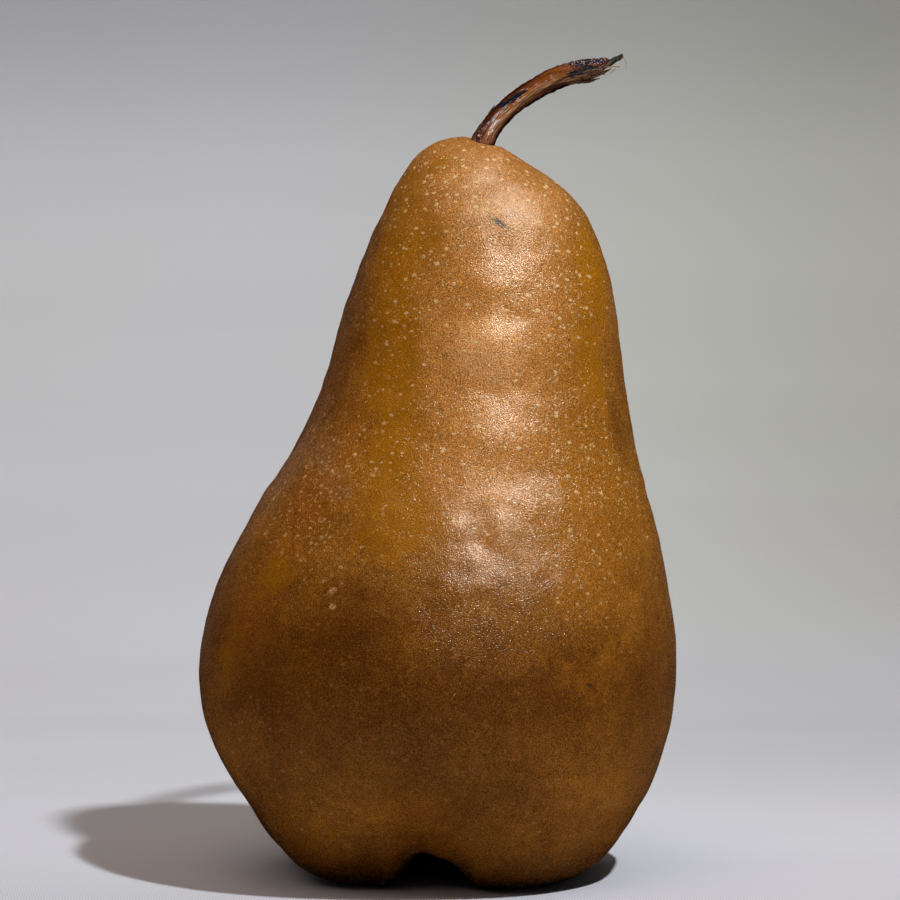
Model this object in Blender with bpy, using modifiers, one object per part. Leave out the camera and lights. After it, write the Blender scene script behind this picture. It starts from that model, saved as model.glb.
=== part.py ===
"""A russet dessert pear, standing on the lobes round its eye.

Three pieces, each a solid of its own: the fruit, the woody stem that sits in
a hole in its crown, and the dried calyx (the eye) in the basin underneath.
The row frame has its origin on the table, under the middle of the pear's box,
with +Z up and the pear's front towards -Y.
"""

import math

import bmesh
import bpy
from mathutils import Matrix, Vector

MM = 0.001

# ---------------------------------------------------------------- fruit
# Half of the fruit's outline, from the lip of the stem's hole down to the eye:
# (height above the table, radius), in mm.
OUTLINE = [
    (106.1, 2.1),
    (105.5, 4.0),
    (104.3, 6.9),
    (102.5, 9.4),
    (99.8, 11.9),
    (96.4, 14.2),
    (91.7, 16.4),
    (84.0, 19.1),
    (72.0, 21.6),
    (62.0, 24.7),
    (54.5, 28.0),
    (46.0, 31.3),
    (37.5, 33.8),
    (30.0, 34.6),
    (22.0, 34.0),
    (14.0, 31.7),
    (8.0, 28.6),
    (3.6, 24.9),
    (0.8, 20.6),
    (-0.8, 16.4),
    (0.3, 12.8),
    (3.0, 9.6),
    (5.3, 7.1),
    (6.7, 4.8),
    (7.1, 2.6),
]
RING_GAP = 2.6 * MM  # distance between rings along the outline
SIDES = 64
DEPTH_SHARE = 0.975  # front to back, the pear is this much of its width

# How far the pear's middle leans towards +X at each height, in mm.
LEAN = [
    (0.0, 1.0),
    (10.0, 1.0),
    (18.0, 0.2),
    (30.0, 0.0),
    (42.0, 0.8),
    (54.0, 2.6),
    (66.0, 4.7),
    (80.0, 5.9),
    (92.0, 6.6),
    (107.0, 6.6),
]

# Near the stem the crown slopes down towards +X, and the slope has run out at
# the shoulder.
CROWN_FROM = 88.0 * MM
CROWN_SLOPE = 0.3
CROWN_SLOPE_FADE = (4.5 * MM, 16.0 * MM)  # radii between which it runs out

# Valleys between the five lobes of the base: (azimuth in degrees, lift of the
# rim in mm, half width in degrees). Azimuth -90 is the front.
VALLEYS = [
    (-99.0, 5.2, 23.0),
    (-8.0, 1.8, 16.0),
    (58.0, 2.2, 18.0),
    (124.0, 1.4, 17.0),
    (190.0, 2.0, 16.0),
]
VALLEY_TOP = 30.0 * MM  # height at which the valleys have run out
VALLEY_TUCK = 0.5  # how far a valley is drawn in, as a share of its lift
BASIN_CALM = (3.5 * MM, 12.5 * MM)  # radii between which the valleys fade in

# Broad swellings and dents of the flank: (azimuth in degrees, height in mm,
# spread in mm, rise in mm).
SWELLINGS = [
    (-105.0, 33.0, 5.0, -0.45),
    (-84.0, 30.0, 11.0, 0.45),
    (-128.0, 17.0, 11.0, 0.55),
    (-58.0, 15.0, 12.0, 0.5),
    (-80.0, 60.0, 8.0, 0.35),
    (-100.0, 72.0, 9.0, -0.3),
    (-60.0, 78.0, 8.0, 0.3),
    (-20.0, 86.0, 6.0, 0.35),
    (-165.0, 50.0, 10.0, 0.45),
    (60.0, 40.0, 14.0, 0.6),
    (110.0, 68.0, 11.0, -0.4),
    (150.0, 26.0, 13.0, 0.5),
    (20.0, 60.0, 12.0, -0.4),
]

# ---------------------------------------------------------------- stem
# Middle line of the stem, from the floor of its hole to the broken tip:
# (x, y, height, radius), in mm.
STEM_ROUTE = [
    (4.7, -1.2, 102.6, 1.55),
    (6.3, 0.0, 105.8, 1.60),
    (8.0, 1.6, 108.5, 1.49),
    (10.3, 4.3, 110.8, 1.50),
    (13.4, 7.8, 112.8, 1.56),
    (16.9, 11.5, 114.5, 1.62),
    (20.6, 14.9, 115.3, 1.62),
    (23.4, 17.2, 115.6, 1.36),
    (25.2, 18.6, 116.3, 0.62),
    (27.0, 20.0, 117.2, 0.3),
]
STEM_STEPS = 3  # rings for each stretch of the route
STEM_SIDES = 20
STEM_RIDGES = 5
STEM_RIDGE_HEIGHT = 0.10  # as a share of the radius
STEM_TWIST = math.radians(130)
HOLE_GAP = 0.3 * MM  # clearance round whatever sits in the fruit

# ---------------------------------------------------------------- calyx
CUP_RADIUS = 2.1 * MM
CUP_TOP = 9.8 * MM  # the end that is sunk in the fruit
CUP_BOTTOM = 5.3 * MM  # the open end, facing the table
CUP_HOLLOW_RADIUS = 1.3 * MM
CUP_HOLLOW_DEPTH = 1.6 * MM
CUP_SIDES = 20
SEPALS = 5
SEPAL_LENGTH = 4.6 * MM
SEPAL_WIDTH = 2.7 * MM
SEPAL_THICKNESS = 0.65 * MM
SEPAL_TIP = 0.5 * MM  # width of its blunt tip
SEPAL_CUPPING = 5.0 * MM  # the smaller, the more its sides turn up
SEPAL_ROOT = 1.5 * MM  # distance from the calyx's axis to a sepal's root
SEPAL_DROOP = 1.5 * MM  # how far the tip hangs below the root
SEPAL_CURL = 0.9 * MM  # how far the tip turns back up
SEPAL_TURN = math.radians(17)


# ---------------------------------------------------------------- helpers
def clear_scene():
    for obj in list(bpy.data.objects):
        bpy.data.objects.remove(obj, do_unlink=True)


def new_collection(name):
    collection = bpy.data.collections.new(name)
    bpy.context.scene.collection.children.link(collection)
    return collection


def new_material(name, colour, roughness):
    material = bpy.data.materials.new(name)
    material.use_nodes = True
    surface = material.node_tree.nodes["Principled BSDF"]
    surface.inputs["Base Color"].default_value = (*colour, 1.0)
    surface.inputs["Roughness"].default_value = roughness
    surface.inputs["Metallic"].default_value = 0.0
    return material


def smooth_curve(points, steps):
    """Points of a Catmull-Rom curve through the given tuples, steps for each stretch."""
    first = [2 * a - b for a, b in zip(points[0], points[1])]
    last = [2 * a - b for a, b in zip(points[-1], points[-2])]
    ends = [first, *points, last]
    curve = []
    for p0, p1, p2, p3 in zip(ends, ends[1:], ends[2:], ends[3:]):
        for step in range(steps):
            t = step / steps
            curve.append(
                tuple(
                    0.5 * (2 * b + (c - a) * t + (2 * a - 5 * b + 4 * c - d) * t**2
                           + (3 * b - a - 3 * c + d) * t**3)
                    for a, b, c, d in zip(p0, p1, p2, p3)
                )
            )
    return [*curve, tuple(points[-1])]


def even_steps(curve, gap):
    """The same curve with its points about the same distance apart."""
    lengths = [0.0]
    for a, b in zip(curve, curve[1:]):
        lengths.append(lengths[-1] + math.dist(a, b))
    count = round(lengths[-1] / gap)
    even = []
    for step in range(count + 1):
        wanted = lengths[-1] * step / count
        last = next(i for i in range(1, len(curve)) if lengths[i] >= wanted - 1e-12)
        share = (wanted - lengths[last - 1]) / (lengths[last] - lengths[last - 1])
        even.append(tuple(a + (b - a) * share for a, b in zip(curve[last - 1], curve[last])))
    return even


def smooth_value(stations, where):
    """Value at `where` on the smooth curve through the (place, value) stations."""
    places = [place for place, _ in stations]
    where = min(max(where, places[0]), places[-1])
    after = next(i for i, place in enumerate(places) if place >= where and i > 0)

    def slope(i):
        a, b = stations[max(i - 1, 0)], stations[min(i + 1, len(stations) - 1)]
        return (b[1] - a[1]) / (b[0] - a[0])

    (low, start), (high, end) = stations[after - 1], stations[after]
    gap = high - low
    t = (where - low) / gap
    return (
        (1 + 2 * t) * (1 - t) ** 2 * start
        + t * (1 - t) ** 2 * gap * slope(after - 1)
        + t**2 * (3 - 2 * t) * end
        - t**2 * (1 - t) * gap * slope(after)
    )


def fade(value, low, high):
    """0 below low, 1 above high, and smooth between them."""
    t = min(1.0, max(0.0, (value - low) / (high - low)))
    return t * t * (3 - 2 * t)


def bell(distance, spread):
    return math.exp(-((distance / spread) ** 2))


def angle_between(a, b):
    """Difference of two angles in degrees, between -180 and 180."""
    return (a - b + 180.0) % 360.0 - 180.0


def solid_mesh(obj):
    """The object as it is evaluated, as one welded mesh with its faces pointing out."""
    graph = bpy.context.evaluated_depsgraph_get()
    mesh = bpy.data.meshes.new_from_object(obj.evaluated_get(graph))
    mesh.transform(obj.matrix_world)
    work = bmesh.new()
    work.from_mesh(mesh)
    bmesh.ops.remove_doubles(work, verts=work.verts, dist=0.001 * MM)
    bmesh.ops.recalc_face_normals(work, faces=work.faces)
    work.to_mesh(mesh)
    work.free()
    bpy.data.objects.remove(obj, do_unlink=True)
    return mesh


def add_piece(name, mesh, material, collection, crease=60.0):
    mesh.name = name
    mesh.materials.clear()
    mesh.materials.append(material)
    mesh.shade_smooth()
    mesh.set_sharp_from_angle(angle=math.radians(crease))
    piece = bpy.data.objects.new(name, mesh)
    collection.objects.link(piece)
    return piece


# ---------------------------------------------------------------- fruit
def turned_fruit(collection):
    """The outline turned about the axis, with the holes for the stem and the calyx."""
    flank = [(radius * MM, height * MM) for height, radius in OUTLINE]
    flank = even_steps(smooth_curve(flank, 8), RING_GAP)
    stem_floor = (STEM_ROUTE[0][2] - 0.5) * MM
    stem_wall = flank[0][0]
    calyx_floor = CUP_TOP + HOLE_GAP
    calyx_wall = CUP_RADIUS + HOLE_GAP
    outline = [(0.0, stem_floor), (stem_wall, stem_floor), *flank,
               (calyx_wall, flank[-1][1]), (calyx_wall, calyx_floor), (0.0, calyx_floor)]
    mesh = bpy.data.meshes.new("outline")
    edges = [(i, i + 1) for i in range(len(outline) - 1)]
    mesh.from_pydata([(radius, 0.0, height) for radius, height in outline], edges, [])
    turned = bpy.data.objects.new("turned_outline", mesh)
    collection.objects.link(turned)
    screw = turned.modifiers.new("turn", "SCREW")
    screw.axis = "Z"
    screw.angle = math.tau
    screw.steps = SIDES
    screw.render_steps = SIDES
    screw.use_merge_vertices = True
    screw.merge_threshold = 0.01 * MM
    return solid_mesh(turned)


def valley_at(azimuth):
    """How far the rim of the base is lifted at this azimuth, in metres."""
    return sum(
        lift * MM * bell(angle_between(azimuth, middle), half_width)
        for middle, lift, half_width in VALLEYS
    )


def swelling_at(azimuth, radius, height):
    total = 0.0
    for middle, level, spread, rise in SWELLINGS:
        across = math.radians(angle_between(azimuth, middle)) * radius
        total += rise * MM * bell(math.hypot(across, height - level * MM), spread * MM)
    return total


def crown_rise(across, height):
    """How much the slope of the crown lifts a place across the axis."""
    share = fade(height, CROWN_FROM, CROWN_FROM + 12 * MM)
    slope = CROWN_SLOPE * (1 - fade(across.length, *CROWN_SLOPE_FADE))
    return -share * slope * across.x


def grown(point):
    """Where the growing pear has a point of the turned shape."""
    across = Vector((point.x, point.y))
    height = point.z
    radius = across.length
    azimuth = math.degrees(math.atan2(across.y, across.x))
    calm = fade(radius, *BASIN_CALM)
    valley = valley_at(azimuth) * calm * (1 - fade(height, 0.0, VALLEY_TOP))
    push = swelling_at(azimuth, radius, height) * calm - valley * VALLEY_TUCK
    if radius > 0:
        across *= 1 + push / radius
    rise = valley + crown_rise(across, height)
    lean = smooth_value(LEAN, height / MM) * MM
    return Vector((across.x + lean, across.y * DEPTH_SHARE, max(0.0, height + rise)))


def make_fruit(collection, material):
    mesh = turned_fruit(collection)
    hole_floor = (STEM_ROUTE[0][2] - 0.5) * MM
    hole_radius = OUTLINE[0][1] * MM
    stem_root = Vector(STEM_ROUTE[1][:3]) - Vector(STEM_ROUTE[0][:3])
    stem_tilt = Vector((stem_root.x, stem_root.y, 0.0)) / stem_root.z
    for vertex in mesh.vertices:
        in_hole = (
            vertex.co.z > CROWN_FROM
            and math.hypot(vertex.co.x, vertex.co.y) < hole_radius + 0.01 * MM
            and vertex.co.z < hole_floor + 1 * MM
        )
        depth = OUTLINE[0][0] * MM - vertex.co.z
        vertex.co = grown(vertex.co)
        if in_hole:
            vertex.co -= depth * stem_tilt
    return add_piece("fruit", mesh, material, collection)


# ---------------------------------------------------------------- stem
def stem_section():
    """The ridged cross-section, of radius 1, as a closed curve."""
    curve = bpy.data.curves.new("stem_section", "CURVE")
    curve.dimensions = "2D"
    spline = curve.splines.new("POLY")
    spline.points.add(STEM_SIDES - 1)
    for i, point in enumerate(spline.points):
        turn = math.tau * i / STEM_SIDES
        radius = 1 + STEM_RIDGE_HEIGHT * math.cos(STEM_RIDGES * turn)
        point.co = (radius * math.cos(turn), radius * math.sin(turn), 0.0, 1.0)
    spline.use_cyclic_u = True
    section = bpy.data.objects.new("stem_section", curve)
    section.hide_render = True
    section.display_type = "WIRE"
    return section


def make_stem(collection, material):
    section = stem_section()
    collection.objects.link(section)
    route = smooth_curve(STEM_ROUTE, STEM_STEPS)
    curve = bpy.data.curves.new("stem_line", "CURVE")
    curve.dimensions = "3D"
    curve.bevel_mode = "OBJECT"
    curve.bevel_object = section
    curve.use_fill_caps = True
    spline = curve.splines.new("POLY")
    spline.points.add(len(route) - 1)
    for i, (x, y, height, radius) in enumerate(route):
        point = spline.points[i]
        point.co = (x * MM, y * MM, height * MM, 1.0)
        point.radius = radius * MM
        point.tilt = STEM_TWIST * i / (len(route) - 1)
    line = bpy.data.objects.new("stem_line", curve)
    collection.objects.link(line)
    mesh = solid_mesh(line)
    bpy.data.objects.remove(section, do_unlink=True)
    return add_piece("stem", mesh, material, collection)


# ---------------------------------------------------------------- calyx
def cup_mesh(collection):
    """The dried tube of the flower: a short plug with a hollow in its open end."""
    outline = [
        (0.0, CUP_TOP),
        (CUP_RADIUS, CUP_TOP),
        (CUP_RADIUS, CUP_BOTTOM),
        (CUP_HOLLOW_RADIUS, CUP_BOTTOM),
        (CUP_HOLLOW_RADIUS * 0.7, CUP_BOTTOM + CUP_HOLLOW_DEPTH * 0.8),
        (0.0, CUP_BOTTOM + CUP_HOLLOW_DEPTH),
    ]
    mesh = bpy.data.meshes.new("cup_outline")
    edges = [(i, i + 1) for i in range(len(outline) - 1)]
    mesh.from_pydata([(radius, 0.0, height) for radius, height in outline], edges, [])
    cup = bpy.data.objects.new("cup", mesh)
    collection.objects.link(cup)
    screw = cup.modifiers.new("turn", "SCREW")
    screw.axis = "Z"
    screw.angle = math.tau
    screw.steps = CUP_SIDES
    screw.render_steps = CUP_SIDES
    screw.use_merge_vertices = True
    screw.merge_threshold = 0.01 * MM
    return solid_mesh(cup)


def sepal_mesh():
    """One dried sepal: a narrow leaf that droops from the cup and curls at its tip."""
    rows, columns = 7, 5
    work = bmesh.new()
    bmesh.ops.create_grid(work, x_segments=rows - 1, y_segments=columns - 1, size=0.5)
    for vertex in work.verts:
        along = vertex.co.x + 0.5
        across = vertex.co.y
        width = SEPAL_WIDTH * (0.62 + 0.9 * along) * (1 - along**1.6) + SEPAL_TIP
        droop = SEPAL_DROOP * along**1.5 - SEPAL_CURL * along**5
        sideways = across * width
        cupped = sideways**2 / SEPAL_CUPPING
        vertex.co = Vector((SEPAL_ROOT + SEPAL_LENGTH * along, sideways, cupped - droop))
    mesh = bpy.data.meshes.new("sepal")
    work.to_mesh(mesh)
    work.free()
    return mesh


def make_calyx(collection, material):
    lean = LEAN[0][1] * MM
    cup = bpy.data.objects.new("cup", cup_mesh(collection))
    collection.objects.link(cup)
    sepals = new_collection("sepals")
    for i in range(SEPALS):
        sepal = bpy.data.objects.new(f"sepal_{i + 1}", sepal_mesh())
        sepals.objects.link(sepal)
        turn = math.tau * i / SEPALS + SEPAL_TURN
        root = CUP_BOTTOM + 0.5 * SEPAL_THICKNESS + 0.1 * MM
        sepal.matrix_world = Matrix.Translation((0.0, 0.0, root)) @ Matrix.Rotation(turn, 4, "Z")
        wall = sepal.modifiers.new("thickness", "SOLIDIFY")
        wall.thickness = SEPAL_THICKNESS
        wall.offset = 0.0
    join = cup.modifiers.new("join_sepals", "BOOLEAN")
    join.operation = "UNION"
    join.operand_type = "COLLECTION"
    join.collection = sepals
    join.solver = "EXACT"
    bpy.context.view_layer.update()
    mesh = solid_mesh(cup)
    for sepal in list(sepals.objects):
        bpy.data.objects.remove(sepal, do_unlink=True)
    bpy.data.collections.remove(sepals)
    mesh.transform(Matrix.Translation((lean, 0.0, 0.0)))
    return add_piece("calyx", mesh, material, collection)


# ---------------------------------------------------------------- whole pear
def stand_on_origin(pieces):
    """Moves the pear so that the middle of its box, on the table, is the origin."""
    points = [vertex.co for piece in pieces for vertex in piece.data.vertices]
    low = Vector(min(p[axis] for p in points) for axis in range(3))
    high = Vector(max(p[axis] for p in points) for axis in range(3))
    middle = (low + high) / 2
    for piece in pieces:
        piece.data.transform(Matrix.Translation((-middle.x, -middle.y, -low.z)))


def main():
    clear_scene()
    pear = new_collection("pear")
    skin = new_material("russet_skin", (0.36, 0.17, 0.045), 0.42)
    bark = new_material("stem_bark", (0.12, 0.045, 0.02), 0.55)
    husk = new_material("dried_calyx", (0.09, 0.05, 0.025), 0.8)
    pieces = [
        make_fruit(pear, skin),
        make_stem(pear, bark),
        make_calyx(pear, husk),
    ]
    stand_on_origin(pieces)


main()
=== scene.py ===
"""The looks of a russet pear: its dotted skin, its woody stem and its dried eye.

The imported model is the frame. Each operator makes one piece over its solid, in
the model's own frame and in metres, and the stage operator adds the cloth
sweep, the lights and the camera.
"""

import bisect
import functools
import math
import random

import bpy
from bpy.props import FloatProperty, FloatVectorProperty, IntProperty, PointerProperty
from mathutils import Matrix, Vector, noise
from mathutils.bvhtree import BVHTree


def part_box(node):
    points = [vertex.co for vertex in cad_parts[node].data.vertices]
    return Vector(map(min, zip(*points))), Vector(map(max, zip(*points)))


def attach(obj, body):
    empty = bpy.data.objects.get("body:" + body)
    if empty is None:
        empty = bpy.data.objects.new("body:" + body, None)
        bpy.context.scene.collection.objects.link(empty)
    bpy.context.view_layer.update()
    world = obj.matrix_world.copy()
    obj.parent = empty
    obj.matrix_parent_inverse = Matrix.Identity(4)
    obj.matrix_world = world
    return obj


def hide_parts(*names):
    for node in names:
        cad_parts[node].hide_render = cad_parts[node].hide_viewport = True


bl_info = {
    "name": "Russet Pear",
    "version": (1, 0, 0),
    "blender": (4, 5, 0),
    "location": "3D View > Sidebar > Pear",
    "description": "Dresses the solids of a pear with russet skin, bark and a dried eye",
    "category": "Object",
}

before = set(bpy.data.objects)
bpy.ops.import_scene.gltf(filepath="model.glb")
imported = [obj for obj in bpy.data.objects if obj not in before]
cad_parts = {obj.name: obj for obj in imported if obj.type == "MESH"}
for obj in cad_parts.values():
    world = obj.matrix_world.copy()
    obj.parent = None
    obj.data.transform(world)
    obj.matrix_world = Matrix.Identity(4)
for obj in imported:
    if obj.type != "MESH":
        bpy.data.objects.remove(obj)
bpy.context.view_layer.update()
MM = 0.001
BODY = "root"


# ---------------------------------------------------------------- settings
def colour(name, description, value):
    """A colour property with this default, in linear red, green and blue."""
    return FloatVectorProperty(
        name=name, description=description, default=value, subtype="COLOR", size=3, min=0, max=1
    )


def length(name, description, value):
    return FloatProperty(name=name, description=description, default=value, unit="LENGTH", min=0, precision=5)


def number(name, description, value, **options):
    return FloatProperty(name=name, description=description, default=value, min=0, **options)


def count(name, description, value, low, high):
    return IntProperty(name=name, description=description, default=value, min=low, max=high)


class PearSkinSettings(bpy.types.PropertyGroup):
    """Colours and sizes of the fruit's skin."""

    russet: colour("Russet", "Main brown of the skin", (0.385, 0.135, 0.009))
    russet_pale: colour("Pale russet", "Paler, pinker brown of the skin", (0.57, 0.222, 0.042))
    # The tan is painted highlight: it lies where the key light's shine falls along the middle of the neck.
    tan: colour("Tan", "Dusty tan at the middle of the neck", (0.76, 0.345, 0.110))
    russet_deep: colour("Deep russet", "Darkest brown of the skin", (0.118, 0.031, 0.0008))
    rust: colour("Rust", "Redder areas of the skin", (0.36, 0.104, 0.006))
    golden: colour("Golden", "Ochre skin where the russet is thin", (0.41, 0.144, 0.001))
    # Painted sheen: the greyer, pinker colour laid on the skin's far left and right edges.
    painted_edge_sheen: colour("Dusky", "Greyer, pinker bloom of the far edges", (0.33, 0.150, 0.064))
    dot: colour("Dots", "Corky dots of the skin", (0.82, 0.50, 0.20))
    fleck: colour("Flecks", "Dark flecks and cracks", (0.045, 0.02, 0.008))
    dot_gap: length("Dot spacing", "Distance between two dots", 1.45 * MM)
    grain_size: length("Grain size", "Size of the skin's finest grain", 0.175 * MM)
    relief: length("Relief", "Height of the low swellings of the skin", 0.35 * MM)
    gloss: number("Roughness", "Roughness of the waxy skin", 0.27, subtype="FACTOR", max=1)


class PearStemSettings(bpy.types.PropertyGroup):
    """Colours and sizes of the stem."""

    bark: colour("Bark", "Glossy red-brown bark", (0.15, 0.034, 0.008))
    maroon: colour("Maroon", "Dark red edges of the bark", (0.045, 0.008, 0.004))
    amber: colour("Amber", "Orange streaks of the bark", (0.36, 0.105, 0.012))
    fibre: colour("Fibre", "Dry tan fibres of the underside", (0.27, 0.105, 0.022))
    hair: colour("Hair", "Pale ends of the torn fibres", (0.62, 0.52, 0.27))
    # Also painted shade: this black darkens the stem's underside and the edges of the peeling strips.
    char: colour("Black", "Blue-black patches of the bark", (0.010, 0.009, 0.013))
    # Painted glints: the pinkish specks on the black patches stand in for the shine of the glossy bark.
    painted_shine: colour("Bloom", "Pinkish specks on the black patches", (0.62, 0.46, 0.48))
    ridge: length("Ridges", "Height of the lengthwise wrinkles", 0.28 * MM)
    sides: count("Sides", "Faces round the stem", 120, 24, 160)
    rings: count("Rings", "Cuts along the stem", 250, 40, 320)


class PearCalyxSettings(bpy.types.PropertyGroup):
    """Colours and sizes of the eye in the base."""

    husk: colour("Husk", "Dried sepals", (0.085, 0.045, 0.022))
    husk_pale: colour("Pale husk", "Worn edges of the sepals", (0.22, 0.14, 0.075))
    stamens: count("Stamens", "Dried stamens in the cup", 14, 3, 40)
    stamen_width: length("Stamen width", "Thickness of a dried stamen", 0.16 * MM)


class PearStageSettings(bpy.types.PropertyGroup):
    """The cloth, the lights and the camera."""

    cloth: colour("Cloth", "Pale cloth under the pear", (0.76, 0.77, 0.81))
    # The backdrop grey and the far grey are painted shade of the rising cloth.
    backdrop: colour("Backdrop", "Grey of the cloth behind", (0.72, 0.73, 0.74))
    shade: colour("Far backdrop", "Grey of the cloth high up behind", (0.455, 0.46, 0.475))
    key_power: number("Key light", "Power of the key light", 3.9, unit="POWER")
    gleam: number("Gleam", "Extra strength of the key light in reflections", 2.6)
    key_size: length("Key size", "Side of the key light", 0.03)
    fill_power: number("Fill light", "Power of the soft light from the left", 3.5, unit="POWER")
    distance: length("Camera distance", "Camera to the middle of the pear", 0.90)
    height: number("Camera height", "Angle of the camera above level", math.radians(6), subtype="ANGLE")
    lens: number("Lens", "Focal length in mm", 249.2, max=500)


# ---------------------------------------------------------------- node helpers
class Nodes:
    """Adds nodes to one tree and wires their sockets."""

    def __init__(self, tree):
        self.tree = tree

    def add(self, kind, inputs=None, **settings):
        node = self.tree.nodes.new(kind)
        node.location = (190 * (len(self.tree.nodes) % 9), -230 * (len(self.tree.nodes) // 9))
        for name, value in settings.items():
            setattr(node, name, value)
        for name, value in (inputs or {}).items():
            self.plug(node.inputs[name], value)
        return node

    def plug(self, socket, value):
        if isinstance(value, bpy.types.NodeSocket):
            self.tree.links.new(value, socket)
        elif socket.type == "RGBA":
            socket.default_value = (*value, 1.0)
        else:
            socket.default_value = value

    def math(self, operation, first, second=0.0, clamp=False):
        return self.add(
            "ShaderNodeMath", {0: first, 1: second}, operation=operation, use_clamp=clamp
        ).outputs[0]

    def times(self, *values):
        return functools.reduce(lambda first, second: self.math("MULTIPLY", first, second), values)

    def plus(self, *values):
        return functools.reduce(lambda first, second: self.math("ADD", first, second), values)

    def minus(self, first, second):
        return self.math("SUBTRACT", first, second)

    def swing(self, value, size):
        """A value about 0.5 as a swing about 0, of this size."""
        return self.times(self.minus(value, 0.5), size)

    def vector(self, operation, first, second=(0.0, 0.0, 0.0)):
        return self.add("ShaderNodeVectorMath", {0: first, 1: second}, operation=operation)

    def span(self, value, low, high, start=0.0, end=1.0):
        """The value, smoothly from start at low to end at high."""
        inputs = {"Value": value, "From Min": low, "From Max": high, "To Min": start, "To Max": end}
        node = self.add("ShaderNodeMapRange", inputs, interpolation_type="SMOOTHSTEP")
        return node.outputs["Result"]

    def noise(self, vector, scale, detail=2.0, roughness=0.5):
        inputs = {"Vector": vector, "Scale": scale, "Detail": detail, "Roughness": roughness}
        return self.add("ShaderNodeTexNoise", inputs).outputs["Fac"]

    def mix(self, factor, first, second, blend="MIX"):
        """Colours mixed by the factor."""
        node = self.add("ShaderNodeMix", data_type="RGBA", blend_type=blend)
        self.plug(node.inputs["Factor"], factor)
        self.plug(node.inputs["A"], first)
        self.plug(node.inputs["B"], second)
        return node.outputs["Result"]

    def tint(self, ground, tint, factor=1.0):
        """The ground multiplied by a colour, by the factor."""
        return self.mix(factor, ground, tint, "MULTIPLY")

    def dim(self, ground, value):
        """The ground multiplied by a number."""
        return self.tint(ground, self.grey(value))

    def grey(self, value):
        return self.add("ShaderNodeCombineColor", {"Red": value, "Green": value, "Blue": value}).outputs[0]

    def painted(self, name):
        """A number that the mesh stores for each vertex."""
        return self.add("ShaderNodeAttribute", attribute_name=name).outputs["Fac"]

    def place(self):
        """Where the point is in the frame, in metres."""
        return self.add("ShaderNodeTexCoord").outputs["Object"]

    def parts(self, vector):
        return self.add("ShaderNodeSeparateXYZ", {"Vector": vector}).outputs

    def bump(self, height, distance):
        """The normal of a height of 0 to 1 over this distance."""
        return self.add("ShaderNodeBump", {"Height": height, "Distance": distance}).outputs["Normal"]

    def use(self, group, vector, **inputs):
        """Places a shader node group and returns its outputs."""
        return self.add(
            "ShaderNodeGroup", {"Vector": vector, **inputs}, node_tree=bpy.data.node_groups[group]
        ).outputs

    def surface(self, **inputs):
        """Sets the sockets of the material's shader, named with _ for a space."""
        for name, value in inputs.items():
            self.plug(self.tree.nodes["Principled BSDF"].inputs[name.replace("_", " ")], value)


def new_group(name, inputs, *outputs):
    """An empty shader group on a vector and these numbers: its helper, its inputs and its outputs."""
    tree = bpy.data.node_groups.new(name, "ShaderNodeTree")
    tree.interface.new_socket("Vector", in_out="INPUT", socket_type="NodeSocketVector")
    for socket, value in inputs.items():
        tree.interface.new_socket(socket, in_out="INPUT", socket_type="NodeSocketFloat").default_value = value
    for socket in outputs:
        tree.interface.new_socket(socket, in_out="OUTPUT", socket_type="NodeSocketFloat")
    nodes = Nodes(tree)
    return nodes, nodes.add("NodeGroupInput").outputs, nodes.add("NodeGroupOutput").inputs


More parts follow.
